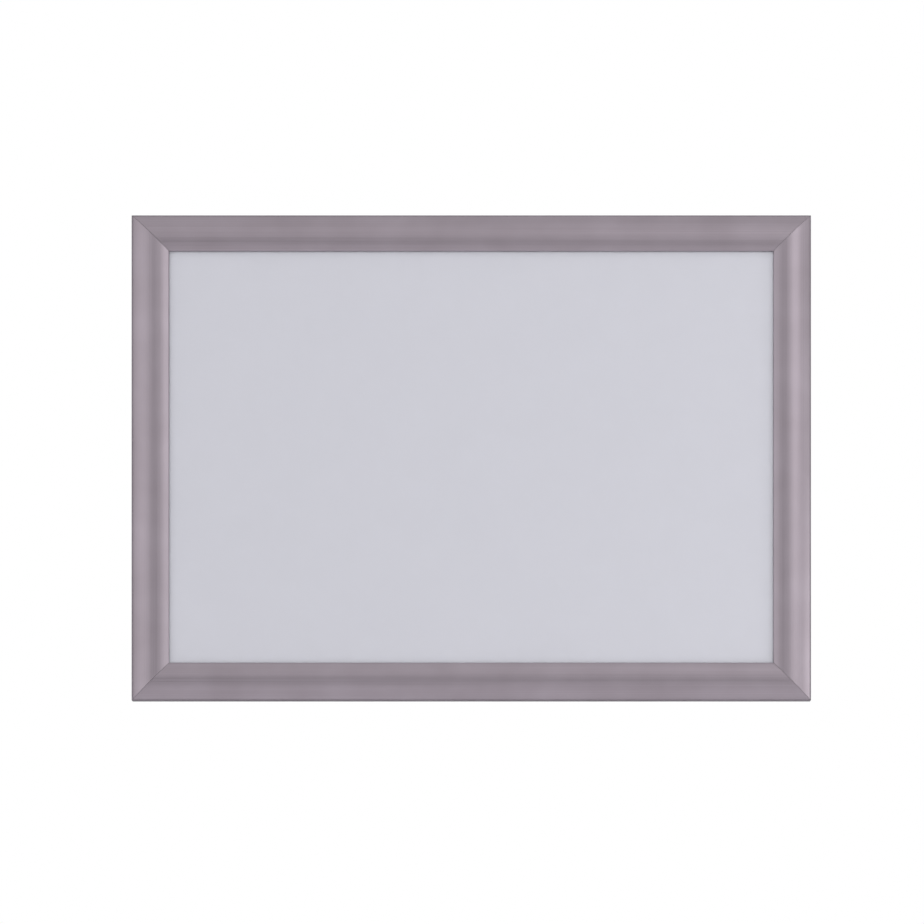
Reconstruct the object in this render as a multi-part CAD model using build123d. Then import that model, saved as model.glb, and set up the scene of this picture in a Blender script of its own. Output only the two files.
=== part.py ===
from build123d import *
from math import asin, atan2, cos, degrees, hypot, radians, sin, sqrt, tan
import os

os.makedirs("parts", exist_ok=True)

# A wall frame whose four front rails hinge open on their outer edges, so that the insert
# behind the clear sheet can be changed from the front. Lengths are in millimetres and angles
# in degrees. The frame stands upright: X runs across it, +Z is up, the wall is at Y = 0 and
# the front faces -Y. The origin is the middle of the frame, on the wall.
#
# Each rail is one section carried along its length. A section is drawn with x as the
# distance in from the frame's outer edge and y as the height in front of the wall.

# The insert and the sheets that hold it
insert_width = 420.0
insert_height = 297.0
panel_thickness = 1.0
sheet_thickness = 0.5

# The front rail's bowed face, which covers the insert's edge by insert_cover. The outer wall
# rises a little past the claw before the shoulder turns in, and the lip has a short straight.
insert_cover = 10.0
crown_reach = 15.3
bow_radius = 28.0
shoulder_radius = 3.2
outer_wall_rise = 0.36
lip_edge_radius = 1.1
lip_straight = 0.39
cover_wall = 1.0
lip_clearance = 0.1
cover_mitre_gap = 0.06

# The hinge along the outer edge: a bead on the base rail, in a claw on the front rail
bead_radius = 1.0
hinge_clearance = 0.1
claw_lift = 0.4
neck_thickness = 0.8
opening_angle = 95.0
stop_angle = 5.7
swing_clearance = 0.2

# The base rail
plate_thickness = 1.2
plate_setback = 0.6
base_mitre_gap = 0.05
post_gap = 0.3
post_thickness = 1.0

# The shelf that the insert lies on, with a foot at its inner edge, and the pocket wall that
# keeps the insert in place
shelf_width = 9.0
foot_thickness = 0.9
pocket_wall = 0.6
pocket_margin = 0.4
insert_clearance = 0.2

# The channel between the post and the pocket wall, and the keys in it
channel_wall = 0.9
channel_height = 1.8
ledge_reach = 0.8
ledge_thickness = 0.8
drill_line_depth = 0.25
key_clearance = 0.1
key_leg = 36.0
key_core_setback = 0.5
key_nose = 1.5
tooth_length = 2.0
tooth_count = 3

# The springs: strips with rolled edges, one edge on the post and one on the front rail's rib
spring_reach = 7.4
spring_bow = 0.25
spring_thickness = 0.3
spring_length = 24.0
roll_radius = 0.6
roll_turn = 290.0
seat_clearance = 0.1
seat_wall = 0.6
rib_thickness = 0.8
rib_clearance = 0.3
spring_place_share = 0.47
post_seat_angles = (167.0, 330.0)
rib_seat_angles = (-120.0, 76.0)

# The wall screws
screw_spacing = 310.0
screw_hole_radius = 2.1
screw_head_radius = 3.7

# How far a cutting shape runs past what it cuts
overrun = 5.0

# Sizes worked out from those above
claw_inner = bead_radius + hinge_clearance
claw_outer = claw_inner + cover_wall
hinge = (claw_outer, plate_thickness + claw_lift + claw_outer)

# The claw's outer end meets the neck just past full opening, and its inner end stops just
# short of the neck's other side when shut.
neck_half_angle = degrees(asin(neck_thickness / 2 / claw_inner))
neck_angle = 180 + opening_angle + stop_angle + neck_half_angle
claw_start = neck_angle - 360 + neck_half_angle + stop_angle

# From the outer edge in come the hinge, the post, the channel, the pocket wall and the insert.
# The pocket wall stands just clear of the front rail's rib, and the channel fills the room
# that is left between it and the post.
post_x = 2 * claw_outer + post_gap + post_thickness / 2
seat_inner = roll_radius + seat_clearance
seat_outer = seat_inner + seat_wall
rib_x = post_x + spring_reach
pocket_start = rib_x + seat_inner + rib_thickness + rib_clearance
channel_start = post_x + post_thickness / 2
channel_end = pocket_start - channel_wall
channel_width = channel_end - channel_start
channel_middle = (channel_start + channel_end) / 2
pocket_x = pocket_start + pocket_wall
base_width = pocket_x + shelf_width
insert_x = pocket_x + insert_clearance
profile_width = insert_x + insert_cover
outer_width = insert_width + 2 * insert_x
outer_height = insert_height + 2 * insert_x
channel_top = plate_thickness + channel_height
ledge_top = channel_top + ledge_thickness
rib_seat = (rib_x, ledge_top + rib_clearance + seat_outer)


def rise_inside_bow(x, radius):
    """How far above the bow's centre an arc at x has its own, to touch the bow from inside."""
    return sqrt((bow_radius - radius) ** 2 - (x - crown_reach) ** 2)


# The shoulder starts above the crevice between the claw and the outer wall, and the bow runs
# on from it over the crown to the lip's edge. The lip stands on the sheet, so its height sets
# the shelf's.
crevice_height = hinge[1] + sqrt(claw_outer**2 - claw_inner**2)
shoulder = (shoulder_radius, crevice_height + outer_wall_rise)
bow = (crown_reach, shoulder[1] - rise_inside_bow(shoulder_radius, shoulder_radius))
crown_height = bow[1] + bow_radius
edge_x = profile_width - lip_edge_radius
lip_edge = (edge_x, bow[1] + rise_inside_bow(edge_x, lip_edge_radius))
nose = (profile_width - cover_wall / 2, lip_edge[1] - lip_straight)
sheet_front = nose[1] - cover_wall / 2 - lip_clearance
shelf_height = sheet_front - sheet_thickness - panel_thickness

# The post's seat lies on the line that halves the rib seat's swing, so that the strip is
# squeezed hardest half way and pushes the rail to whichever end of its swing is nearer.
rib_seat_angle = degrees(atan2(rib_seat[1] - hinge[1], rib_seat[0] - hinge[0]))
dead_centre_angle = rib_seat_angle + opening_angle / 2
post_seat = (post_x, hinge[1] + (post_x - hinge[0]) * tan(radians(dead_centre_angle)))


def polar(centre, radius, angle):
    """The point at this radius and angle from a centre."""
    return (centre[0] + radius * cos(radians(angle)), centre[1] + radius * sin(radians(angle)))


def closed(*edges):
    """The face inside edges that follow each other."""
    return make_face(list(edges))


def block(low, high):
    """A rectangle between two corners."""
    (left, bottom), (right, top) = low, high
    return Polygon((left, bottom), (right, bottom), (right, top), (left, top), align=None)


def band(centre, inner, outer, start, end):
    """A band between two radii, from one angle to another."""
    inside = CenterArc(centre, inner, start, end - start)
    outside = CenterArc(centre, outer, start, end - start)
    return closed(inside, Line(inside @ 1, outside @ 1), outside, Line(outside @ 0, inside @ 0))


def disc(centre, radius):
    """A filled circle."""
    return Pos(*centre) * Circle(radius)


def shell_section():
    """The front rail's claw, outer wall, bowed face and lip as one outline."""
    bow_start = degrees(atan2(shoulder[1] - bow[1], shoulder[0] - bow[0]))
    bow_end = degrees(atan2(lip_edge[1] - bow[1], lip_edge[0] - bow[0]))
    crevice = degrees(atan2(crevice_height - hinge[1], -claw_inner))
    claw_in = CenterArc(hinge, claw_inner, 180, claw_start - 180)
    claw_out = CenterArc(hinge, claw_outer, claw_start, crevice - claw_start)
    corner_in = CenterArc(shoulder, shoulder_radius - cover_wall, 180, bow_start - 180)
    bow_in = CenterArc(bow, bow_radius - cover_wall, bow_start, bow_end - bow_start)
    edge_in = CenterArc(lip_edge, lip_edge_radius - cover_wall, bow_end, -bow_end)
    lip = CenterArc(nose, cover_wall / 2, -180, 180)
    edge_out = CenterArc(lip_edge, lip_edge_radius, 0, bow_end)
    bow_out = CenterArc(bow, bow_radius, bow_end, bow_start - bow_end)
    corner_out = CenterArc(shoulder, shoulder_radius, bow_start, 180 - bow_start)
    foot = (0, hinge[1])
    return closed(
        claw_in,
        Line(claw_in @ 1, claw_out @ 0),
        claw_out,
        Line(claw_out @ 1, corner_in @ 0),
        corner_in,
        bow_in,
        edge_in,
        Line(edge_in @ 1, lip @ 0),
        lip,
        Line(lip @ 1, edge_out @ 0),
        edge_out,
        bow_out,
        corner_out,
        Line(corner_out @ 1, foot),
        Line(foot, claw_in @ 0),
    )


def rib_section():
    """The rib under the bowed face, with the groove for the springs' inner edge."""
    low_x = rib_seat[0] + seat_inner
    high_x = low_x + rib_thickness
    middle_radius = bow_radius - cover_wall / 2
    top = bow[1] + sqrt(middle_radius**2 - (high_x - bow[0]) ** 2)
    rib = block((low_x, rib_seat[1]), (high_x, top))
    return rib + band(rib_seat, seat_inner, seat_outer, *rib_seat_angles)


def base_section():
    """The base rail: plate, hinge bead and neck, post with its seat, and the keys' channel.

    The insert lies on a raised shelf that stands on the pocket wall and on a foot. A fine groove
    along the channel's floor marks where holes are drilled.
    """
    plate = block((plate_setback, 0), (pocket_x, plate_thickness))
    shelf = block((pocket_start, shelf_height - plate_thickness), (base_width, shelf_height))
    foot = block((base_width - foot_thickness, 0), (base_width, shelf_height))
    neck_length = (hinge[1] - plate_thickness / 2) / sin(radians(360 - neck_angle))
    neck = Pos(*hinge) * Rot(0, 0, neck_angle) * block(
        (0, -neck_thickness / 2), (neck_length, neck_thickness / 2)
    )
    low_x = post_x - post_thickness / 2
    post_top = post_seat[1] - (seat_inner + seat_outer) / 2
    post = block((low_x, 0), (channel_start, post_top))
    seat = band(post_seat, seat_inner, seat_outer, *post_seat_angles)
    pocket = block((pocket_start, 0), (pocket_x, sheet_front + pocket_margin))
    side = block((channel_end, 0), (pocket_start, ledge_top))
    ledge_in = block((low_x, channel_top), (channel_start + ledge_reach, ledge_top))
    ledge_out = block((channel_end - ledge_reach, channel_top), (pocket_start, ledge_top))
    bead = disc(hinge, bead_radius)
    depth = drill_line_depth
    drill_line = Polygon(
        (channel_middle, plate_thickness - depth),
        (channel_middle + 2 * depth, plate_thickness + depth),
        (channel_middle - 2 * depth, plate_thickness + depth),
        align=None,
    )
    rail = plate + neck + bead + post + seat + side + pocket + shelf + foot + ledge_in + ledge_out
    return rail - drill_line


def spring_section():
    """A spring: a strip bowed towards the rail's face, with both edges rolled into a curl.

    The strip's middle line is an arc that runs on into the middle circle of each curl.
    """
    run = (rib_seat[0] - post_seat[0], rib_seat[1] - post_seat[1])
    chord = hypot(*run)
    heading = degrees(atan2(run[1], run[0]))
    radius = (chord**2 / 4 + spring_bow**2) / (2 * spring_bow)
    middle = (post_seat[0] + run[0] / 2, post_seat[1] + run[1] / 2)
    centre = polar(middle, radius - spring_bow, heading - 90)
    half_angle = degrees(asin(chord / 2 / radius))
    start, end = heading + 90 + half_angle, heading + 90 - half_angle
    roll_inner = roll_radius - spring_thickness
    strip = band(centre, radius + roll_inner, radius + roll_radius, end, start)
    post_roll = band(post_seat, roll_inner, roll_radius, start, start + roll_turn)
    rib_roll = band(rib_seat, roll_inner, roll_radius, end - roll_turn, end)
    return strip + post_roll + rib_roll


def between_mitres(length, gap):
    """All that lies between a rail's two mitred ends, each cut back by a gap."""
    near, far = -overrun, profile_width + overrun
    half = length / 2 - gap * sqrt(2)
    outline = Polygon(
        (near, near - half), (far, far - half), (far, half - far), (near, half - near), align=None
    )
    return extrude(Plane.XZ * outline, amount=crown_height + overrun, both=True)


def cover_rail(length):
    """A front rail. Its claw and lower wall end short of the mitre.

    With two rails open at a corner, each one's claw has turned in under its neighbour, so both
    are cut back by the furthest that a point of the claw travels.
    """
    section = shell_section() + rib_section()
    rail = extrude(section, amount=length / 2, both=True) & between_mitres(length, cover_mitre_gap)
    half_swing = radians(opening_angle / 2)
    travel = 2 * claw_outer * sin(half_swing) + swing_clearance
    height = hinge[1] + claw_outer * tan(half_swing) + swing_clearance
    reach = 2 * claw_outer + post_gap / 2
    low_part = extrude(block((-overrun, -overrun), (reach, height)), amount=length, both=True)
    return rail - (low_part - between_mitres(length, travel / sqrt(2)))


def base_rail(length, screws):
    """A base rail. One with screws has a hole and room for the screw's head at each."""
    rail = extrude(base_section(), amount=length / 2, both=True)
    rail &= between_mitres(length, base_mitre_gap)
    for side in (-1, 1) if screws else ():
        place = Pos(channel_middle, 0, side * screw_spacing / 2) * Rot(90, 0, 0)
        rail -= place * Cylinder(screw_hole_radius, 2 * (plate_thickness + overrun))
        depth = ledge_top + overrun
        forward = (Align.CENTER, Align.CENTER, Align.MAX)
        rail -= Pos(0, plate_thickness, 0) * place * Cylinder(screw_head_radius, depth, align=forward)
    return rail


def key_leg_plan(width, length):
    """One leg of a key in plan, from the corner along x, its end drawn in to a nose."""
    half = width / 2
    taper = min(key_nose, half)
    return Polygon(
        (-half, -half),
        (length - taper, -half),
        (length, taper - half),
        (length, half - taper),
        (length - taper, half),
        (-half, half),
        align=None,
    )


def corner_key():
    """An L-shaped key, drawn from the corner of the two channels' middle lines.

    Each leg is a core with teeth that bear on the channel's sides, and a spine that stands in
    the mouth between the two ledges.
    """
    full = channel_width - 2 * key_clearance
    core = full - 2 * key_core_setback
    mouth = full - 2 * ledge_reach
    foot_height = channel_height - key_clearance
    plan = key_leg_plan(core, key_leg)
    pitch = key_leg / (tooth_count + 1)
    for count in range(tooth_count):
        start = (count + 1) * pitch
        tooth = Polygon(
            (start - tooth_length, full / 2),
            (start - tooth_length, -full / 2),
            (start, -core / 2),
            (start, core / 2),
            align=None,
        )
        plan += tooth
    leg = extrude(plan, amount=foot_height)
    leg += extrude(key_leg_plan(mouth, key_leg - key_nose), amount=channel_height + ledge_thickness)
    return leg + leg.rotate(Axis.Z, 90).mirror(Plane.YZ)


rail_planes = {
    "bottom": Plane((0, 0, -outer_height / 2), x_dir=(0, 0, 1), z_dir=(1, 0, 0)),
    "top": Plane((0, 0, outer_height / 2), x_dir=(0, 0, -1), z_dir=(-1, 0, 0)),
    "left": Plane((-outer_width / 2, 0, 0), x_dir=(1, 0, 0), z_dir=(0, 0, -1)),
    "right": Plane((outer_width / 2, 0, 0), x_dir=(-1, 0, 0), z_dir=(0, 0, 1)),
}


def corner_planes():
    """One plane at each corner of the channels, its x and y running in along them."""
    x = outer_width / 2 - channel_middle
    z = outer_height / 2 - channel_middle
    corners = (((-x, -z), (1, 0)), ((x, -z), (0, 1)), ((x, z), (-1, 0)), ((-x, z), (0, -1)))
    return [
        Plane((at[0], -plate_thickness, at[1]), x_dir=(way[0], 0, way[1]), z_dir=(0, -1, 0))
        for at, way in corners
    ]


def layer(thickness, back):
    """A sheet of the insert's size whose back is this far in front of the wall."""
    return Pos(0, -back - thickness / 2, 0) * Box(insert_width, thickness, insert_height)


parts = {
    "back_panel": layer(panel_thickness, shelf_height),
    "cover_sheet": layer(sheet_thickness, shelf_height + panel_thickness),
}
for name, plane in rail_planes.items():
    upright = name in ("left", "right")
    length = outer_height if upright else outer_width
    parts[f"cover_{name}"] = plane * cover_rail(length)
    parts[f"base_{name}"] = plane * base_rail(length, screws=not upright)
    spring = extrude(spring_section(), amount=spring_length / 2, both=True)
    for number, side in enumerate((-1, 1), start=1):
        place = Pos(0, 0, side * spring_place_share * length / 2)
        parts[f"spring_{name}_{number}"] = plane * place * spring
for number, plane in enumerate(corner_planes(), start=1):
    parts[f"corner_key_{number}"] = plane * corner_key()

for name, part in parts.items():
    export_step(part, f"parts/{name}.step")

print(f"frame {outer_width} x {outer_height}, hinge at {hinge}, seats {post_seat} and {rib_seat}")
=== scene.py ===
# %% [markdown]
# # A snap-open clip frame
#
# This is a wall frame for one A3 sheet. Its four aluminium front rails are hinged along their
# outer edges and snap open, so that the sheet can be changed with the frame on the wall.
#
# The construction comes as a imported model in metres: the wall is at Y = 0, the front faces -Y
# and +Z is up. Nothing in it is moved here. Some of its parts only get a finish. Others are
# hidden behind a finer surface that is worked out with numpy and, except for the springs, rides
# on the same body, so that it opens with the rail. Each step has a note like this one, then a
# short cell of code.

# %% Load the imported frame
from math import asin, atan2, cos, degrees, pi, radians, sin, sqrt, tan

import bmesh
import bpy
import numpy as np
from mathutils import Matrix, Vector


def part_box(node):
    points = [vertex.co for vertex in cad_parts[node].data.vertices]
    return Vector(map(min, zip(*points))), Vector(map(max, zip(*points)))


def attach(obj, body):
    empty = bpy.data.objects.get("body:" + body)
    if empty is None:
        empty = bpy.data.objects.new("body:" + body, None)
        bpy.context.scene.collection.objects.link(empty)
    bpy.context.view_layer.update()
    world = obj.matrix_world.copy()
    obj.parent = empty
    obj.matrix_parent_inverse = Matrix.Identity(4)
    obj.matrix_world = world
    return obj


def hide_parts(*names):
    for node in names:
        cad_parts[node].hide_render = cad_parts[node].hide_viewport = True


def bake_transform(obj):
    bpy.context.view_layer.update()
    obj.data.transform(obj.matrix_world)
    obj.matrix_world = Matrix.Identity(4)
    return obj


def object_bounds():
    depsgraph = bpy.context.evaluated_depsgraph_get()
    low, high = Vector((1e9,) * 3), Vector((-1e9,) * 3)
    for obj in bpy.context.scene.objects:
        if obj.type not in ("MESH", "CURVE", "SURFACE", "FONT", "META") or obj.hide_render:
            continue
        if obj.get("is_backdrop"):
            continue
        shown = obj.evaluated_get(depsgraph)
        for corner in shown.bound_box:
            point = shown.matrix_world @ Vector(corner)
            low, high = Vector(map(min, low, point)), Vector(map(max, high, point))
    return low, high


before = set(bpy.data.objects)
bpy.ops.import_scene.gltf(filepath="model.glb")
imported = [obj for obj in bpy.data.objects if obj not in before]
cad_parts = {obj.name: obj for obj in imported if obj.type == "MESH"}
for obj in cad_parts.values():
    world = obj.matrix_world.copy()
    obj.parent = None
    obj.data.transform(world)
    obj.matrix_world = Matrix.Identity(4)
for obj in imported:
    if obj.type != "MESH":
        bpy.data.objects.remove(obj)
cad_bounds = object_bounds()

# %% [markdown]
# ## Units and the scene's colours
#
# Blender works in metres and a frame maker in millimetres, so lengths below are millimetres
# times MM. The Standard view transform shows a colour as it is written, which suits a product
# that has to match a photograph. The filmic ones would wash its whites.

MM = 0.001
scene = bpy.context.scene
scene.view_settings.view_transform = "Standard"
low_corner, high_corner = cad_bounds
centre = (low_corner + high_corner) / 2
print("size in mm", [round(side / MM, 2) for side in high_corner - low_corner])

# %% [markdown]
# ## The camera
#
# The picture was taken square on from a little below, and the rails' far ends don't draw
# together, so an orthographic camera fits it. Its scale and aim come from three readings of the
# picture: the frame's width, the pixel where its middle lies, and how much its height is
# squeezed, which gives the tilt.

# %% Camera
picture_px = 924
frame_width_px = 679.4
frame_middle_px = (471.3, 458.1)
view_elevation = radians(-10.5)
camera_distance = 1.1

px = (high_corner.x - low_corner.x) / frame_width_px
back = Vector((0, -cos(view_elevation), sin(view_elevation)))
up = Vector((0, sin(view_elevation), cos(view_elevation)))
aim = centre.copy()
aim.x += (picture_px / 2 - frame_middle_px[0]) * px
aim += up * (frame_middle_px[1] - picture_px / 2) * px

camera_data = bpy.data.cameras.new("camera")
camera_data.type = "ORTHO"
camera_data.ortho_scale = picture_px * px
camera = bpy.data.objects.new("camera", camera_data)
camera.location = aim + back * camera_distance
camera.rotation_euler = (-back).to_track_quat("-Z", "Y").to_euler()
scene.collection.objects.link(camera)
scene.camera = camera
print("one pixel is", round(px / MM, 3), "mm")

# %% [markdown]
# ## Helpers for materials
#
# A material is a tree of nodes. One function adds a node, sets it and links it, whatever its
# kind, and another turns a colour written as hex, as in any paint program, into the linear
# values that a shader works with. Where a node has several sockets of one name, they are given
# by number: a Mix node has its numbers at 2 and 3 and its colours at 6 and 7.


# %% Colour and node helpers
def linear(hex_colour):
    """A colour written as #rrggbb, as linear red, green, blue and an alpha of one.

    Below 0.04045 a channel is divided by 12.92, and above it the rest of the sRGB curve holds:
    ((c + 0.055) / 1.055) to the power 2.4.
    """
    channels = np.array([int(hex_colour[i : i + 2], 16) for i in (1, 3, 5)]) / 255
    curve = np.where(channels <= 0.04045, channels / 12.92, ((channels + 0.055) / 1.055) ** 2.4)
    return (*curve.tolist(), 1.0)


def add(tree, kind, inputs=None, **settings):
    """Adds a node, sets it, and feeds each named input from a value or another node's socket."""
    node = tree.nodes.new("ShaderNode" + kind)
    for name, value in settings.items():
        setattr(node, name, value)
    for name, value in (inputs or {}).items():
        if isinstance(value, bpy.types.NodeSocket):
            tree.links.new(value, node.inputs[name])
        else:
            node.inputs[name].default_value = value
    return node


def new_material(name):
    """A material with no nodes yet, and its tree."""
    material = bpy.data.materials.new(name)
    material.use_nodes = True
    material.node_tree.nodes.clear()
    return material, material.node_tree


print("middle grey #808080 is", round(linear("#808080")[0], 3), "in linear light")

# %% [markdown]
# ## The studio
#
# The world is white to the camera and to the rays that gloss and clear plastic send out, so the
# background is white and the metal reflects it. To diffuse rays it is only a soft fill, so it
# doesn't wash the object out. The floor is pale paper that keeps the object's shadow. It glows
# just enough to look white, but only to the same direct rays, so it doesn't light the object
# from below. A picture of a real studio could light it too, but a few plain parts are easier to
# read and to change.

# %% World
fill_strength = 0.885


def seen_directly(tree):
    """A socket that is one for camera, glossy and transmission rays, and zero for diffuse ones."""
    path = add(tree, "LightPath")
    first = {0: path.outputs["Is Camera Ray"], 1: path.outputs["Is Glossy Ray"]}
    either = add(tree, "Math", first, operation="MAXIMUM")
    second = {0: either.outputs[0], 1: path.outputs["Is Transmission Ray"]}
    return add(tree, "Math", second, operation="MAXIMUM").outputs[0]


world = bpy.data.worlds.new("studio")
world.use_nodes = True
scene.world = world
tree = world.node_tree
tree.nodes.clear()
fill = add(tree, "Background", {"Color": linear("#ffffff"), "Strength": fill_strength})
white = add(tree, "Background", {"Color": linear("#ffffff"), "Strength": 1.0})
mix = add(tree, "MixShader", {0: seen_directly(tree), 1: fill.outputs[0], 2: white.outputs[0]})
add(tree, "OutputWorld", {"Surface": mix.outputs[0]})
print("the fill light is", fill_strength, "of white")

# %% Floor
floor_glow = 0.22
floor_drop = 0.6
floor_reach = 4.0


def stage_piece(name, points, faces, material):
    """A flat mesh that belongs to the studio and not to the object."""
    mesh = bpy.data.meshes.new(name)
    mesh.from_pydata(points.tolist(), [], faces)
    mesh.materials.append(material)
    piece = bpy.data.objects.new(name, mesh)
    scene.collection.objects.link(piece)
    piece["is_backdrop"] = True
    return piece


paper, tree = new_material("white_background_paper")
glow = add(tree, "Math", {0: seen_directly(tree), 1: floor_glow}, operation="MULTIPLY")
matt = {"Base Color": linear("#ededef"), "Roughness": 0.9, "Emission Color": linear("#ffffff")}
shader = add(tree, "BsdfPrincipled", {**matt, "Emission Strength": glow.outputs[0]})
add(tree, "OutputMaterial", {"Surface": shader.outputs[0]})
floor_height = centre.z - floor_drop
turns = np.array(((-1, -1, 0), (1, -1, 0), (1, 1, 0), (-1, 1, 0)))
stage_piece("floor", turns * floor_reach + (0, 0, floor_height), [(0, 1, 2, 3)], paper)
print("floor at", round(floor_height, 3), "m")

# %% [markdown]
# ## Lamps and cards
#
# Satin metal is drawn by what it reflects. Three soft boxes stand to the left, close by on the
# right, and in front to the right, which is why the right-hand rail is the brighter one. Two
# grey cards do the opposite job. One stands in front, where a photographer keeps the room dark
# round the camera, and draws the darker band along each rail's crown. The other lies just
# behind the frame, as a wall does, with a hole of the frame's size. Its grey is painted shade:
# it stands for a wall in the frame's own shadow. The rails' outer edges reflect it at a
# glance, and it gives them a thin dark outline against the white. The camera doesn't see the
# cards, and they cast no shadow.


# %% Soft boxes
def soft_box(name, place, size, radiance):
    """An area light that faces the frame's middle. Its power is radiance times pi times area."""
    lamp = bpy.data.lights.new(name, "AREA")
    lamp.shape = "RECTANGLE"
    lamp.size, lamp.size_y = size
    lamp.energy = radiance * pi * size[0] * size[1]
    box = bpy.data.objects.new(name, lamp)
    box.location = place
    box.rotation_euler = (centre - Vector(place)).to_track_quat("-Z", "Y").to_euler()
    box.visible_camera = False
    scene.collection.objects.link(box)
    print(name, round(lamp.energy, 2), "W")


soft_box("left_soft_box", place=(-1.15, -1.45, 0.25), size=(1.2, 0.65), radiance=0.7)
soft_box("right_soft_box", place=(0.96, -0.31, -0.2), size=(0.8, 0.55), radiance=1.5)
soft_box("front_soft_box", place=(0.75, -1.5, 0.6), size=(0.6, 1.0), radiance=1.5)


# %% Grey cards
def rectangle(middle, half_size):
    """The corners of an upright rectangle: its middle plus or minus half its width and height."""
    turns = np.array(((-1, 0, -1), (1, 0, -1), (1, 0, 1), (-1, 0, 1)))
    return np.array(middle) + turns * (half_size[0], 0, half_size[1])


def grey_card(name, points, faces, colour):
    """A flat matt card of a hex colour, which only the object's gloss sees."""
    material, tree = new_material(name)
    shader = add(tree, "BsdfPrincipled", {"Base Color": linear(colour), "Roughness": 0.9})
    add(tree, "OutputMaterial", {"Surface": shader.outputs[0]})
    card = stage_piece(name, points, faces, material)
    card.visible_camera = False
    card.visible_diffuse = False
    card.visible_shadow = False


camera_card_middle = (-0.3, -3.0, 0.0)
camera_card_half = (0.53, 0.475)
camera_card = rectangle(camera_card_middle, camera_card_half)
grey_card("camera_card", camera_card, [(0, 1, 2, 3)], "#a0a0a3")

behind_the_frame = 10 * MM
hole_gap = 2 * MM
wall_card_half = (1.2, 0.9)
wall_middle = (centre.x, behind_the_frame, centre.z)
hole = (high_corner.x - centre.x + hole_gap, high_corner.z - centre.z + hole_gap)
shaded_wall_card = np.vstack((rectangle(wall_middle, hole), rectangle(wall_middle, wall_card_half)))
around = [(k, (k + 1) % 4, (k + 1) % 4 + 4, k + 4) for k in range(4)]
# The wall card's grey is painted shade: a wall in the frame's own shadow, seen only in
# reflections.
grey_card("shaded_wall_card", shaded_wall_card, around, "#cfcfd1")
print("hole in the wall card", [round(2 * side / MM) for side in hole], "mm")

# %% [markdown]
# ## Satin anodised aluminium
#
# The front rails are extruded, etched matt and anodised in a pale mauve silver. The die leaves
# fine lines that run the rail's whole length, and the etch softens them. The pattern therefore
# follows the surface: each rail has a UV map whose first value is the way round the section and
# whose second is the way along the rail, both in metres. The lines are about 0.15 mm apart on
# the real rail, which is finer than a pixel, so they are drawn at 0.6 mm. A noise texture that
# is stretched along the rail draws them, and the same noise makes them rougher and gives them
# relief. The second, broad noise is the slow drift of tint that an anodising bath leaves.

# %% Anodised aluminium
die_line_spacing = 0.6 * MM
die_line_length = 400 * MM
die_line_depth = 0.003 * MM
bloom_size = 35 * MM


def anodised_aluminium():
    """Anodised satin aluminium: metal with lengthwise die lines and a slow drift of tint."""
    material, tree = new_material("anodised_satin_aluminium")
    way = add(tree, "UVMap", uv_map="rail")
    stretch = (1 / die_line_spacing, 1 / die_line_length, 1)
    lined = add(tree, "Mapping", {"Vector": way.outputs[0], "Scale": stretch})
    lines = add(tree, "TexNoise", {"Vector": lined.outputs[0], "Scale": 1.0, "Detail": 3.0})
    drift = {"Vector": way.outputs[0], "Scale": 1 / bloom_size, "Detail": 2.0}
    bloom = add(tree, "TexNoise", drift)
    both = add(tree, "Mix", {0: 0.5, 2: lines.outputs[0], 3: bloom.outputs[0]})
    spread = add(tree, "MapRange", {"Value": both.outputs[0], "From Min": 0.35, "From Max": 0.65})
    shades = {0: spread.outputs[0], 6: linear("#8f868d"), 7: linear("#9a9199")}
    tint = add(tree, "Mix", shades, data_type="RGBA")
    satin = {"From Min": 0.3, "From Max": 0.7, "To Min": 0.32, "To Max": 0.42}
    rough = add(tree, "MapRange", {"Value": lines.outputs[0], **satin})
    relief = add(tree, "Bump", {"Height": lines.outputs[0], "Distance": die_line_depth})
    inputs = {"Base Color": tint.outputs[2], "Roughness": rough.outputs[0], "Metallic": 1.0}
    shader = add(tree, "BsdfPrincipled", {**inputs, "Normal": relief.outputs[0]})
    add(tree, "OutputMaterial", {"Surface": shader.outputs[0]})
    return material


anodised = anodised_aluminium()
print(anodised.name, "with die lines every", die_line_spacing / MM, "mm")

# %% [markdown]
# ## Bare aluminium
#
# The rails are sawn to 45 degrees after they are anodised, so their ends show bare metal with
# the saw's arcs. The base rails aren't anodised at all: mill finish is the extrusion as it
# leaves the press, greyer and shinier, with lines that show more. They keep their own solids
# and have no UV map, so their lines follow the object's X or Z axis instead. Saw marks and die
# lines are about 0.2 mm apart in truth, and are drawn wider so that a close view shows them.

# %% Sawn aluminium
saw_mark_spacing = 0.5 * MM
saw_mark_depth = 0.008 * MM
saw_blade_radius = 150 * MM


def sawn_aluminium():
    """Bare sawn aluminium: bright metal with the blade's curved marks.

    A Wave texture turns by 20 radians in each unit of its space, so rings that lie a spacing
    apart need a scale of 2 pi / (20 spacing). Their middle is a blade's radius away, so they
    cross a rail's end as shallow arcs.
    """
    material, tree = new_material("sawn_aluminium")
    way = add(tree, "UVMap", uv_map="rail")
    middle = {"Vector": way.outputs[0], "Location": (0, saw_blade_radius, 0)}
    about_blade = add(tree, "Mapping", middle)
    scale = 2 * pi / (20 * saw_mark_spacing)
    waves = {"Vector": about_blade.outputs[0], "Scale": scale, "Distortion": 0.8}
    marks = add(tree, "TexWave", waves, wave_type="RINGS", rings_direction="Z")
    height = marks.outputs["Fac"]
    rough = add(tree, "MapRange", {"Value": height, "To Min": 0.26, "To Max": 0.42})
    relief = add(tree, "Bump", {"Height": height, "Distance": saw_mark_depth})
    inputs = {"Base Color": linear("#b9b8bb"), "Metallic": 1.0, "Roughness": rough.outputs[0]}
    shader = add(tree, "BsdfPrincipled", {**inputs, "Normal": relief.outputs[0]})
    add(tree, "OutputMaterial", {"Surface": shader.outputs[0]})
    return material


sawn = sawn_aluminium()
print(sawn.name, "with saw marks every", saw_mark_spacing / MM, "mm")

# %% Mill-finish aluminium
mill_line_spacing = 0.8 * MM
mill_line_length = 500 * MM
mill_line_depth = 0.004 * MM


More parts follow.
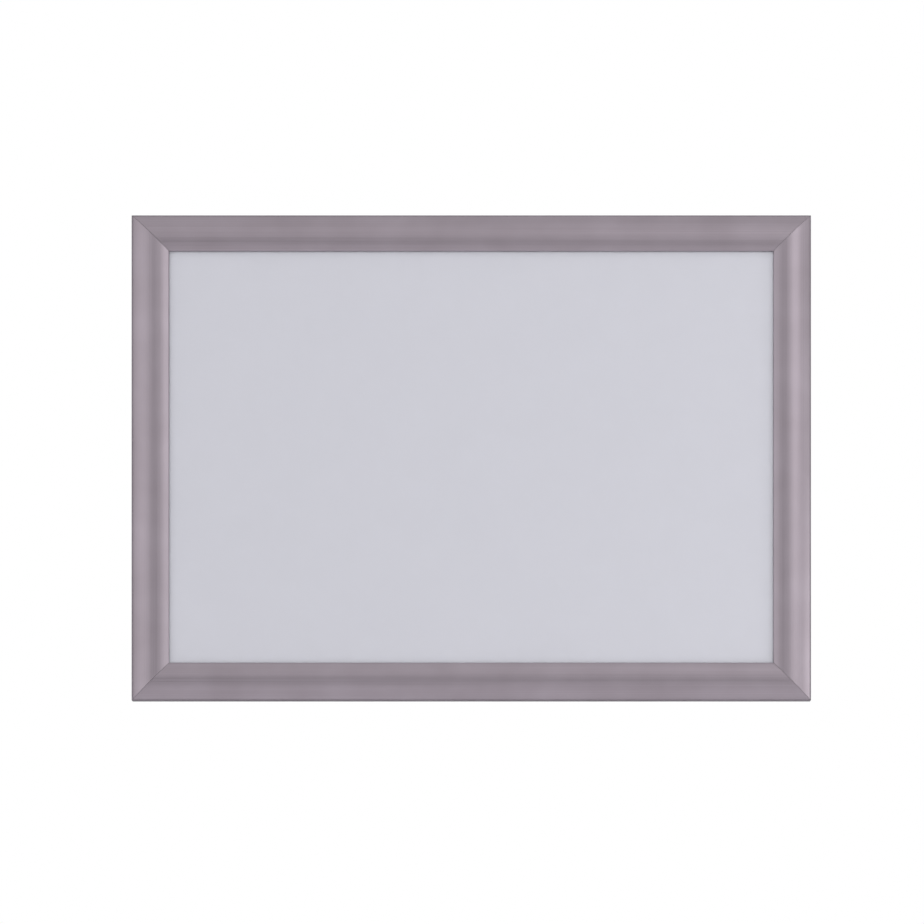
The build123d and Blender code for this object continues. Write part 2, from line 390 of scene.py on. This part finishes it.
def mill_aluminium(name, run):
    """Mill-finish aluminium with die lines along run, 0 for the X axis and 2 for the Z axis."""
    material, tree = new_material(name)
    place = add(tree, "TexCoord")
    stretch = np.full(3, 1 / mill_line_spacing)
    stretch[run] = 1 / mill_line_length
    lined = add(tree, "Mapping", {"Vector": place.outputs["Object"], "Scale": stretch.tolist()})
    lines = add(tree, "TexNoise", {"Vector": lined.outputs[0], "Scale": 1.0, "Detail": 4.0})
    spread = add(tree, "MapRange", {"Value": lines.outputs[0], "From Min": 0.3, "From Max": 0.7})
    shades = {0: spread.outputs[0], 6: linear("#a3a3a5"), 7: linear("#b4b4b6")}
    tint = add(tree, "Mix", shades, data_type="RGBA")
    sheen = {"From Min": 0.3, "From Max": 0.7, "To Min": 0.24, "To Max": 0.38}
    rough = add(tree, "MapRange", {"Value": lines.outputs[0], **sheen})
    relief = add(tree, "Bump", {"Height": lines.outputs[0], "Distance": mill_line_depth})
    inputs = {"Base Color": tint.outputs[2], "Roughness": rough.outputs[0], "Metallic": 1.0}
    shader = add(tree, "BsdfPrincipled", {**inputs, "Normal": relief.outputs[0]})
    add(tree, "OutputMaterial", {"Surface": shader.outputs[0]})
    return material


mill_level = mill_aluminium("mill_finish_aluminium_level", 0)
mill_upright = mill_aluminium("mill_finish_aluminium_upright", 2)
print(mill_level.name, "with lines every", mill_line_spacing / MM, "mm")

# %% [markdown]
# ## Plastics and spring steel
#
# The back panel is white high-impact polystyrene, rolled smooth but not glossy. The cover sheet
# is clear PVC with one face etched so that it doesn't glare: it dulls reflections to a haze and
# hardly hides what lies behind it. A thin sheet doesn't bend the view, so it is drawn as a
# partly transparent surface, which also lets lamps light the panel behind it. The corner keys
# are moulded black ABS with a spark-eroded texture. The springs are rolled from hard strip
# steel and keep the rolls' fine lines. The sheet's grain, the keys' pits and the springs' lines
# are all under 0.1 mm in truth, and are drawn at 0.8, 0.5 and 0.3 mm so that they show.

# %% Polystyrene, PVC, ABS and spring steel
def white_polystyrene():
    """White HIPS sheet: matt, with the faint mottle that the cooling rolls leave."""
    material, tree = new_material("white_polystyrene_sheet")
    place = add(tree, "TexCoord").outputs["Object"]
    mottle_size = 18 * MM
    cloud = add(tree, "TexNoise", {"Vector": place, "Scale": 1 / mottle_size, "Detail": 3.0})
    shades = {0: cloud.outputs[0], 6: linear("#d0d0d6"), 7: linear("#d4d4da")}
    tint = add(tree, "Mix", shades, data_type="RGBA")
    rough = add(tree, "MapRange", {"Value": cloud.outputs[0], "To Min": 0.42, "To Max": 0.52})
    inputs = {"Base Color": tint.outputs[2], "Roughness": rough.outputs[0], "IOR": 1.59}
    shader = add(tree, "BsdfPrincipled", inputs)
    add(tree, "OutputMaterial", {"Surface": shader.outputs[0]})
    return material


def etched_pvc():
    """Clear anti-glare PVC: mostly see-through, with a fine grain that dulls reflections."""
    material, tree = new_material("anti_glare_pvc_sheet")
    place = add(tree, "TexCoord").outputs["Object"]
    grain_size = 0.8 * MM
    grain_depth = 0.004 * MM
    grain = add(tree, "TexNoise", {"Vector": place, "Scale": 1 / grain_size, "Detail": 2.0})
    relief = add(tree, "Bump", {"Height": grain.outputs[0], "Distance": grain_depth})
    rough = add(tree, "MapRange", {"Value": grain.outputs[0], "To Min": 0.34, "To Max": 0.46})
    inputs = {"Base Color": linear("#e4e4ec"), "Roughness": rough.outputs[0], "IOR": 1.54}
    shader = add(tree, "BsdfPrincipled", {**inputs, "Alpha": 0.2, "Normal": relief.outputs[0]})
    add(tree, "OutputMaterial", {"Surface": shader.outputs[0]})
    return material


def black_abs():
    """Black moulded ABS with a fine eroded texture."""
    material, tree = new_material("black_abs")
    place = add(tree, "TexCoord").outputs["Object"]
    pit_size = 0.5 * MM
    pit_depth = 0.02 * MM
    pits = add(tree, "TexNoise", {"Vector": place, "Scale": 1 / pit_size, "Detail": 2.0})
    relief = add(tree, "Bump", {"Height": pits.outputs[0], "Distance": pit_depth})
    rough = add(tree, "MapRange", {"Value": pits.outputs[0], "To Min": 0.38, "To Max": 0.55})
    inputs = {"Base Color": linear("#1c1c1e"), "Roughness": rough.outputs[0], "IOR": 1.54}
    shader = add(tree, "BsdfPrincipled", {**inputs, "Normal": relief.outputs[0]})
    add(tree, "OutputMaterial", {"Surface": shader.outputs[0]})
    return material


def spring_steel():
    """Hard rolled steel strip: dark bright metal, lined along the strip."""
    material, tree = new_material("rolled_spring_steel")
    way = add(tree, "UVMap", uv_map="rail")
    line_spacing = 0.3 * MM
    line_length = 30 * MM
    stretch = (1 / line_spacing, 1 / line_length, 1)
    lined = add(tree, "Mapping", {"Vector": way.outputs[0], "Scale": stretch})
    lines = add(tree, "TexNoise", {"Vector": lined.outputs[0], "Scale": 1.0, "Detail": 3.0})
    shades = {0: lines.outputs[0], 6: linear("#77797e"), 7: linear("#8f9196")}
    tint = add(tree, "Mix", shades, data_type="RGBA")
    rough = add(tree, "MapRange", {"Value": lines.outputs[0], "To Min": 0.2, "To Max": 0.36})
    inputs = {"Base Color": tint.outputs[2], "Roughness": rough.outputs[0], "Metallic": 1.0}
    shader = add(tree, "BsdfPrincipled", inputs)
    add(tree, "OutputMaterial", {"Surface": shader.outputs[0]})
    return material


polystyrene = white_polystyrene()
pvc = etched_pvc()
key_plastic = black_abs()
steel = spring_steel()
print("materials", [material.name for material in (polystyrene, pvc, key_plastic, steel)])

# %% [markdown]
# ## Drawing a section
#
# Every rail is one section carried along its length, so the section is what has to be right. It
# is drawn as points in millimetres: x is the distance in from the frame's outer edge, and y the
# height in front of the wall. Round stretches are sampled arcs. Sharp corners are eased
# afterwards, because a real die has no perfectly sharp corner and a bare edge catches no light.


# %% Arcs, outlines and eased corners
def arc(middle, radius, start, end, chord=0.22):
    """Points on a circle from one angle to another, in degrees.

    x = middle x + radius cos(angle) and y = middle y + radius sin(angle), at even steps of
    angle whose chords are no longer than chord and no wider than 9 degrees.
    """
    sweep_angle = abs(radians(end - start))
    count = int(np.ceil(max(sweep_angle * radius / chord, sweep_angle / radians(9)))) + 1
    angles = np.radians(np.linspace(start, end, max(count, 2)))
    return np.array(middle) + radius * np.column_stack((np.cos(angles), np.sin(angles)))


def outline_of(*stretches):
    """Joins points and arcs into one closed outline, without points that repeat."""
    points = np.vstack([np.atleast_2d(stretch) for stretch in stretches])
    steps = np.linalg.norm(points - np.roll(points, 1, axis=0), axis=1)
    return points[steps > 1e-6]


def eased(points, radius, least_turn=25.0):
    """Rounds each corner of a closed outline that turns by more than least_turn degrees.

    A corner P between A and B, each a radius away along its side, becomes the curve
    (1-t)^2 A + 2t(1-t) P + t^2 B at four values of t. On a short side A or B is nearer, at 0.45
    of the side, so that two eased corners don't meet.
    """
    before = np.roll(points, 1, axis=0) - points
    after = np.roll(points, -1, axis=0) - points
    sides = np.linalg.norm(before, axis=1), np.linalg.norm(after, axis=1)
    cosine = -(before * after).sum(axis=1) / (sides[0] * sides[1])
    sharp = np.degrees(np.arccos(np.clip(cosine, -1, 1))) > least_turn
    reach = [np.minimum(radius, 0.45 * side) / side for side in sides]
    start = points + before * reach[0][:, None]
    end = points + after * reach[1][:, None]
    t = np.linspace(0, 1, 4)[None, :, None]
    curve = (1 - t) ** 2 * start[:, None] + 2 * t * (1 - t) * points[:, None] + t**2 * end[:, None]
    curve = np.where(sharp[:, None, None], curve, points[:, None])
    keep = np.ones(curve.shape[:2], bool)
    keep[~sharp, 1:] = False
    return curve[keep]


print("a quarter circle of 1 mm is", len(arc((0, 0), 1.0, 0, 90)), "points")

# %% [markdown]
# ## The front rail's section
#
# From the outer edge it has a claw that turns on the base rail's bead, a low wall, the bowed
# face, and a rounded lip that holds the sheet's rim. A rib hangs under the crown with a groove
# for the springs' inner edge. The round edges are small circles that touch the bow's circle from
# inside, so the face runs on into them without a kink. These are the solid's own sizes, and the
# print below sets the new section's width and height beside the solid's.

# %% Front rail section
box_low, box_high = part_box("cover_left")
profile_width = (box_high.x - box_low.x) / MM
crown_height = -box_low.y / MM
crown_reach = 15.3
bow_radius = 28.0
shoulder_radius = 3.2
lip_edge_radius = 1.1
wall = 1.0
hinge = (2.1, 3.7)
claw_inner, claw_outer = 1.1, 2.1
claw_angle = -30.96
lip_gap = 0.1
sheet_front = -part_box("cover_sheet")[0].y / MM
rib_seat = (12.4, 5.4)
rib_seat_angles = (-120.0, 76.0)
seat_inner, seat_outer = 0.7, 1.3
rib_thickness = 0.8
corner_ease = 0.12


def cover_outline():
    """The front rail's outline, counterclockwise, from the foot of its outer wall."""
    bow = (crown_reach, crown_height - bow_radius)

    def inside_bow(x, radius):
        rise = sqrt((bow_radius - radius) ** 2 - (x - bow[0]) ** 2)
        return (x, bow[1] + rise), degrees(atan2(rise, x - bow[0]))

    shoulder, bow_start = inside_bow(shoulder_radius, shoulder_radius)
    lip_edge, bow_end = inside_bow(profile_width - lip_edge_radius, lip_edge_radius)
    half = wall / 2
    nose = (profile_width - half, sheet_front + lip_gap + half)

    rib_left = rib_seat[0] + seat_inner
    rib_right = rib_left + rib_thickness
    rib_walls = (rib_left, rib_right)
    ceiling = [bow[1] + sqrt((bow_radius - wall) ** 2 - (x - bow[0]) ** 2) for x in rib_walls]
    rib_angles = [degrees(atan2(y - bow[1], x - bow[0])) for x, y in zip(rib_walls, ceiling)]
    web_turn = degrees(atan2(sqrt(seat_outer**2 - seat_inner**2), seat_inner))
    crevice = degrees(atan2(sqrt(claw_outer**2 - claw_inner**2), -claw_inner))
    return outline_of(
        (0, hinge[1]),
        arc(hinge, claw_inner, 180, claw_angle),
        arc(hinge, claw_outer, claw_angle, crevice),
        arc(shoulder, shoulder_radius - wall, 180, bow_start),
        arc(bow, bow_radius - wall, bow_start, rib_angles[0]),
        arc(rib_seat, seat_outer, web_turn, rib_seat_angles[1]),
        arc(rib_seat, seat_inner, rib_seat_angles[1], rib_seat_angles[0]),
        arc(rib_seat, seat_outer, rib_seat_angles[0], 0),
        (rib_right, rib_seat[1]),
        arc(bow, bow_radius - wall, rib_angles[1], bow_end),
        arc(lip_edge, lip_edge_radius - wall, bow_end, 0),
        arc(nose, half, -180, 0),
        arc(lip_edge, lip_edge_radius, 0, bow_end),
        arc(bow, bow_radius, bow_end, bow_start),
        arc(shoulder, shoulder_radius, bow_start, 180),
    )


cover_section = eased(cover_outline(), corner_ease)
cover_size = np.ptp(cover_section, axis=0).round(3)
solid_size = [round(side / MM, 3) for side in (box_high - box_low).xy]
print("front rail section:", len(cover_section), "points,", cover_size, "mm, solid", solid_size)

# %% [markdown]
# ## Carrying a section along a rail
#
# A swept surface is a grid: one direction goes round the section and the other along the rail.
# A curve with a bevel profile could carry the section too, but it cuts its ends square and
# sharp, so the grid is worked out here.
#
# Where a station lies depends on the point, because a mitre is slanted: its end is as much
# shorter as the point lies further in. The last few stations draw the outline in along a small
# quarter circle, which leaves the fine broken edge that a deburred saw cut has.
#
# A front rail's claw and lower wall end short of the mitre, so that two open rails clear each
# other at the corner. Those points form the low run at the start of the outline. Where they
# stop, a flat ceiling closes the notch.


# %% Split an outline at the notch
def notched(points, height, reach):
    """A closed outline rolled so that its low run comes first, and the run's count of points.

    The low run is all below height and nearer than reach. The outline is cut where it crosses
    that height, at x + (height - y) dx/dy on each side, and each cut point is there twice: once
    for the run and once for the rest.
    """
    low = (points[:, 1] < height) & (points[:, 0] < reach)
    first = int(np.flatnonzero(low & ~np.roll(low, 1))[0])
    points, low = np.roll(points, -first, axis=0), np.roll(low, -first)
    count = int(low.sum())

    def crossing(a, b):
        return a + (b - a) * (height - a[1]) / (b[1] - a[1])

    enter, leave = crossing(points[-1], points[0]), crossing(points[count - 1], points[count])
    run = np.vstack((enter, points[:count], leave))
    return np.vstack((run, leave, points[count:], enter)), len(run)


# %% The swept grid
edge_rows = 4


def swept(points, half_length, mitre, gap, broken_edge, low_count=0, low_gap=0.0, spacing=45.0):
    """The grid of points of a section carried along a rail, and how many rows a broken edge has.

    An upper point (x, y) ends at z = half_length - gap - mitre x, and a low one at
    half_length - low_gap - mitre x, mirrored at the other end. Station by station the upper
    points move in by r (1 - cos a) and back by r (1 - sin a) as a goes from 90 to 0 degrees.
    Between the ends the stations lie about spacing apart.
    """
    along = np.roll(points, -1, axis=0) - np.roll(points, 1, axis=0)
    inward = np.column_stack((-along[:, 1], along[:, 0])) / np.linalg.norm(along, axis=1)[:, None]
    upper = np.arange(len(points)) >= low_count
    turn = np.radians(np.linspace(90, 0, edge_rows))[:, None]
    inset = broken_edge * (1 - np.cos(turn)) * upper
    sections = points[None] + inset[:, :, None] * inward[None]
    ends = half_length - gap - mitre * sections[:, :, 0] - broken_edge * (1 - np.sin(turn))
    shoulder = half_length - max(low_gap, gap + broken_edge) - mitre * points[:, 0]
    ends = np.where(upper, ends, shoulder)

    count = max(2, int(2 * half_length / spacing))
    middle = shoulder[None] * np.linspace(1, -1, count)[:, None]
    depth = np.vstack((ends, middle, -ends[::-1]))
    sections = np.concatenate((sections, np.repeat(points[None], count, axis=0), sections[::-1]))
    return np.dstack((sections, depth[:, :, None]))[::-1], len(turn)


def swept_faces(grid, end_stations, low_count):
    """The side faces of a swept grid, their map positions, and its end faces.

    Sides are quads (i, j), (i, j+1), (i+1, j+1), (i+1, j). Their map is the way round the
    section and the way along. An end is one face for the upper outline and, where there is a
    low run, one for that and one for the ceiling between them.
    """
    stations, width = grid.shape[:2]
    index = np.arange(stations * width).reshape(stations, width)
    middle = grid[stations // 2, :, :2]
    steps = np.linalg.norm(np.roll(middle, -1, axis=0) - middle, axis=1)
    way = np.concatenate(([0], np.cumsum(steps)))
    j = np.arange(width)
    if low_count:
        j = np.delete(j, [low_count - 1, width - 1])
    i = np.arange(stations - 1)
    i, j = (part.ravel() for part in np.meshgrid(i, j, indexing="ij"))
    full = (j >= low_count) | ((i >= end_stations) & (i < stations - 1 - end_stations))
    i, j = i[full], j[full]
    k = (j + 1) % width
    quads = np.column_stack((index[i, j], index[i, k], index[i + 1, k], index[i + 1, j]))
    depth = grid[:, :, 2]
    quad_maps = np.stack(
        (
            np.column_stack((way[j], way[j + 1], way[j + 1], way[j])),
            np.column_stack((depth[i, j], depth[i, k], depth[i + 1, k], depth[i + 1, j])),
        ),
        axis=2,
    )
    caps = [index[-1, low_count:], index[0, low_count:][::-1]]
    if low_count:
        near, far = end_stations, stations - 1 - end_stations
        caps += [index[far, :low_count], index[near, :low_count][::-1]]
        caps += [np.concatenate((index[far:, low_count], index[far:, -1][::-1]))]
        caps += [np.concatenate((index[: near + 1, -1][::-1], index[: near + 1, low_count]))]
    return quads, quad_maps, caps


# %% Make the mesh
same_place = 1e-8
corner_angle = radians(35)


def mesh_object(name, grid, low_count, end_stations, place, materials):
    """A finished piece from a swept grid in millimetres, which place takes to the scene.

    Its sides get the first material and its ends the last. An end's map is the section's own
    x and y.
    """
    quads, quad_maps, caps = swept_faces(grid, end_stations, low_count)
    vertices = place(grid.reshape(-1, 3) * MM)
    faces = quads.tolist() + [cap.tolist() for cap in caps]
    mesh = bpy.data.meshes.new(name)
    mesh.from_pydata(vertices.tolist(), [], faces)
    flat = grid.reshape(-1, 3)
    maps = np.vstack([quad_maps.reshape(-1, 2)] + [flat[cap][:, :2] for cap in caps]) * MM
    layer = mesh.uv_layers.new(name="rail")
    layer.data.foreach_set("uv", maps.astype(np.float32).ravel())
    finish = np.repeat([0, len(materials) - 1], [len(quads), len(caps)])
    mesh.polygons.foreach_set("material_index", finish.astype(np.int32))
    for material in materials:
        mesh.materials.append(material)
    return welded(name, mesh)


def welded(name, mesh):
    """The finished piece of a mesh: its seams joined, and smooth except at its corners."""
    work = bmesh.new()
    work.from_mesh(mesh)
    bmesh.ops.remove_doubles(work, verts=work.verts, dist=same_place)
    open_edges = sum(not edge.is_manifold for edge in work.edges)
    volume = round(work.calc_volume(signed=True) / MM**3, 1)
    work.to_mesh(mesh)
    work.free()
    mesh.shade_smooth()
    mesh.set_sharp_from_angle(angle=corner_angle)
    piece = bpy.data.objects.new(name, mesh)
    scene.collection.objects.link(piece)
    even = piece.modifiers.new("even_normals", "WEIGHTED_NORMAL")
    even.keep_sharp = True
    print(name, len(mesh.polygons), "faces,", open_edges, "open edges,", volume, "mm3")
    return piece


# %% [markdown]
# ## Where the rails go
#
# The section's x runs in from an outer edge, its y comes forward from the wall, and the sweep
# runs along the edge. Each rail therefore needs only its edge's middle and two directions.
# They are chosen so that the three axes stay right-handed, which keeps every face outward.

# %% Rail places
outer_width = high_corner.x - low_corner.x
outer_height = high_corner.z - low_corner.z
rail_sides = {
    "bottom": ((0, 0, -outer_height / 2), (0, 0, 1), (1, 0, 0)),
    "top": ((0, 0, outer_height / 2), (0, 0, -1), (-1, 0, 0)),
    "left": ((-outer_width / 2, 0, 0), (1, 0, 0), (0, 0, -1)),
    "right": ((outer_width / 2, 0, 0), (-1, 0, 0), (0, 0, 1)),
}
rail_length = {"bottom": outer_width, "top": outer_width}
rail_length |= {"left": outer_height, "right": outer_height}


def rail_place(side, shift=0.0):
    """A function that takes (in, forward, along) to the scene for one side of the frame."""
    start, inward, along = (np.array(direction, float) for direction in rail_sides[side])
    axes = np.vstack((inward, (0.0, -1.0, 0.0), along))
    return lambda points: (points + (0, 0, shift)) @ axes + start


print("rail lengths in mm", {side: round(length / MM) for side, length in rail_length.items()})

# %% Front rails
cover_mitre_gap = 0.06 * sqrt(2)
broken_edge = 0.06
opening_angle = 95.0
swing_clearance = 0.2
post_gap = 0.3
half_swing = radians(opening_angle / 2)
claw_travel = 2 * claw_outer * sin(half_swing) + swing_clearance
notch_height = hinge[1] + claw_outer * tan(half_swing) + swing_clearance
notch_reach = 2 * claw_outer + post_gap / 2

section, low_count = notched(cover_section, notch_height, notch_reach)
for side in rail_sides:
    grid, end_stations = swept(
        section,
        half_length=rail_length[side] / MM / 2,
        mitre=1.0,
        gap=cover_mitre_gap,
        broken_edge=broken_edge,
        low_count=low_count,
        low_gap=claw_travel,
    )
    rail = mesh_object(
        f"front_rail_{side}", grid, low_count, end_stations, rail_place(side), [anodised, sawn]
    )
    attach(rail, f"front_rail_{side}")
    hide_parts(f"cover_{side}")

# %% [markdown]
# ## Base rails and corner keys
#
# Their solids have the right shape already: plates, posts and channels with flat faces, and
# L-shaped keys. They stay as they are and only get their finishes.

# %% Finish the carried parts
for side in rail_sides:
    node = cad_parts[f"base_{side}"]
    node.data.materials.clear()
    node.data.materials.append(mill_level if side in ("top", "bottom") else mill_upright)
for number in range(1, 5):
    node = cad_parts[f"corner_key_{number}"]
    node.data.materials.clear()
    node.data.materials.append(key_plastic)
print("finished", len(rail_sides), "base rails and", number, "corner keys")

# %% [markdown]
# ## The springs
#
# Each spring is a short steel strip whose two long edges are rolled into curls. One curl turns
# in the base rail's post and the other in the front rail's rib. The strip's middle line is an
# arc over both seats that runs on into a curl round each, and its outline lies half the
# strip's thickness to either side.
#
# Each spring is built in its place at rest, as one rigid piece that is attached to no body.

# %% Spring section
post_seat = (5.0, 8.1439)
curl_radius = 0.45
strip_thickness = 0.3
strip_bow = 0.25
curl_turn = 290.0
curl_chord = 0.1
strip_ease = 0.08


def spring_outline():
    """A strip's outline, half its thickness to either side of its middle line.

    Between seats a chord c apart the middle line is an arc of height h and radius
    (c^2/4 + h^2) / 2h, moved out by the curls' radius, so it runs on into them without a kink.
    """
    run = np.subtract(rib_seat, post_seat)
    chord = float(np.linalg.norm(run))
    heading = degrees(atan2(run[1], run[0]))
    inner = (chord**2 / 4 + strip_bow**2) / (2 * strip_bow)
    half_angle = degrees(asin(chord / 2 / inner))
    turn = heading + 90
    middle = (np.array(post_seat) + rib_seat) / 2
    fall = (inner - strip_bow) * np.array((cos(radians(turn)), sin(radians(turn))))
    start, end = turn + half_angle, turn - half_angle

    def side(offset):
        return np.vstack(
            (
                arc(post_seat, curl_radius + offset, start + curl_turn, start, curl_chord)[:-1],
                arc(middle - fall, inner + curl_radius + offset, start, end)[:-1],
                arc(rib_seat, curl_radius + offset, end, end - curl_turn, curl_chord),
            )
        )

    half = strip_thickness / 2
    return np.vstack((side(-half), side(half)[::-1]))


spring_section = eased(spring_outline(), strip_ease)
spring_size = np.ptp(spring_section, axis=0).round(2)
print("spring section:", len(spring_section), "points,", spring_size, "mm")

# %% Springs
spring_length = 24.0
spring_place_share = 0.47
station_spacing = 4.0
blend_margin = 0.9

seats = np.array((post_seat, rib_seat))
across = seats[1] - seats[0]
across /= np.linalg.norm(across)
blend_from, blend_to = seats[0] + blend_margin * across, seats[1] - blend_margin * across
grid, end_stations = swept(
    spring_section,
    half_length=spring_length / 2,
    mitre=0.0,
    gap=0.0,
    broken_edge=broken_edge,
    spacing=station_spacing,
)
for side in rail_sides:
    for number, way in enumerate((-1, 1), start=1):
        name = f"steel_spring_{side}_{number}"
        to_scene = rail_place(side, way * spring_place_share * rail_length[side] / 2)
        spring = mesh_object(name, grid, 0, end_stations, to_scene, [steel])
        points = to_scene(np.array([[*blend_from, 0], [*blend_to, 0]]) * MM)
        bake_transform(spring)
        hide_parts(f"spring_{side}_{number}")

# %% [markdown]
# ## The back panel and the cover sheet
#
# Both are flat sheets cut on a guillotine, with corners that are only just rounded. Each is one
# closed surface of two parameters: the way round a rounded rectangle, and how far in from the
# edge it lies. The rings start on the back's middle line, go out over the edge and come in
# again on the front. The cover sheet also has the slack wave of a thin sheet that is held only
# round its rim, a few hundredths of a millimetre, which keeps its sheen from looking dead flat.
# A bevelled box would have the edges but no rings to carry the wave. A gap of 0.02 mm keeps the
# two sheets' faces apart.


# %% Rings of a rounded rectangle
corner_points = 7
side_points = 24


def ring(width, height, radius, inset):
    """Points round a rounded rectangle that lies inset inside another, always as many.

    Each corner is a quarter circle, and each side between two corners is divided evenly, so
    points face each other across the middle.
    """
    half = np.array((width / 2, height / 2)) - inset
    radius = np.clip(radius - inset, 0, None)
    turn = np.linspace(0, pi / 2, corner_points)
    quarter = radius * np.column_stack((np.cos(turn), np.sin(turn))) - radius
    corners = [
        half + quarter,
        (half + quarter[::-1]) * (-1, 1),
        -(half + quarter),
        (half + quarter[::-1]) * (1, -1),
    ]
    share = np.linspace(0, 1, side_points + 2)[1:-1, None]
    parts = []
    for corner, after in zip(corners, corners[1:] + corners[:1]):
        parts += [corner, corner[-1] + (after[0] - corner[-1]) * share]
    return np.vstack(parts)


# %% Sheet surface
inner_rings = 12
rings_near_edge = [8.0, 2.0, 0.6]
wave_across, wave_up, wave_slanting = 61.0, 47.0, 33.0
rim_stiffness = 8


def sheet_object(name, size, depths, corner, edge, wave, material):
    """A thin sheet from its size, the heights of its back and front, and its edge's radius.

    Across its broken edge the rings move in by r (1 - cos a) and rise by r (1 - sin a). The
    sheet comes forward by wave times held times (1.4 + sin(x/61 + 0.7) cos(z/47 - 0.4)
    + 0.4 sin((x + z)/33)), where held is 0 at the rim and 1 from an eighth of the way in.
    """
    width, height = size
    back_y, front_y = depths
    insets = np.concatenate((np.linspace(0.5, 0.04, inner_rings) * height, rings_near_edge))
    turn = np.radians(np.linspace(90, 0, edge_rows))
    rim = edge * (1 - np.cos(turn))
    rise = edge * (1 - np.sin(turn))
    inset = np.concatenate((insets, rim, rim[::-1], insets[::-1]))
    flat = np.ones(len(insets))
    level = np.concatenate((back_y * flat, back_y + rise, front_y - rise[::-1], front_y * flat))
    rings = np.array([ring(width, height, corner, value) for value in inset])
    x, z = rings[:, :, 0], rings[:, :, 1]
    inside = (1 - np.abs(x) / (width / 2)) * (1 - np.abs(z) / (height / 2))
    held = np.clip(inside * rim_stiffness, 0, 1)
    waves = 1.4 + np.sin(x / wave_across + 0.7) * np.cos(z / wave_up - 0.4)
    waves += 0.4 * np.sin((x + z) / wave_slanting)
    slack = wave * held * waves
    grid = np.dstack((x, -(level[:, None] + slack), z))
    vertices = grid.reshape(-1, 3) * MM
    rows, count = grid.shape[:2]
    index = np.arange(rows * count).reshape(rows, count)
    after = np.roll(index, -1, axis=1)
    quads = np.stack((index[:-1], after[:-1], after[1:], index[1:]), axis=2).reshape(-1, 4)
    mesh = bpy.data.meshes.new(name)
    mesh.from_pydata(vertices.tolist(), [], quads.tolist())
    mesh.materials.append(material)
    return welded(name, mesh)


# %% Panel and sheet
insert_size = [side / MM for side in (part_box("back_panel")[1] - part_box("back_panel")[0]).xz]
panel_depths = [-corner.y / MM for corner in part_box("back_panel")][::-1]
sheet_depths = [-corner.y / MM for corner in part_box("cover_sheet")][::-1]
film_gap = 0.02
sheet_depths[0] += film_gap
sheet_corner = 1.0
panel = sheet_object(
    "polystyrene_panel",
    insert_size,
    panel_depths,
    sheet_corner,
    edge=0.15,
    wave=0.0,
    material=polystyrene,
)
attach(panel, "root")
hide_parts("back_panel")
sheet = sheet_object(
    "pvc_sheet",
    insert_size,
    sheet_depths,
    sheet_corner,
    edge=0.1,
    wave=0.04,
    material=pvc,
)
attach(sheet, "root")
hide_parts("cover_sheet")

# %% [markdown]
# ## How far the visual model grew
#
# The visual model is meant to stay inside the solid one's box. The cell prints how far it reaches
# past that box on each side, in millimetres.

# %% Print how far it grew
new_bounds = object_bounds()
grown = [*(cad_bounds[0] - new_bounds[0]), *(new_bounds[1] - cad_bounds[1])]
print("grown by, in mm:", [round(value / MM, 4) for value in grown])
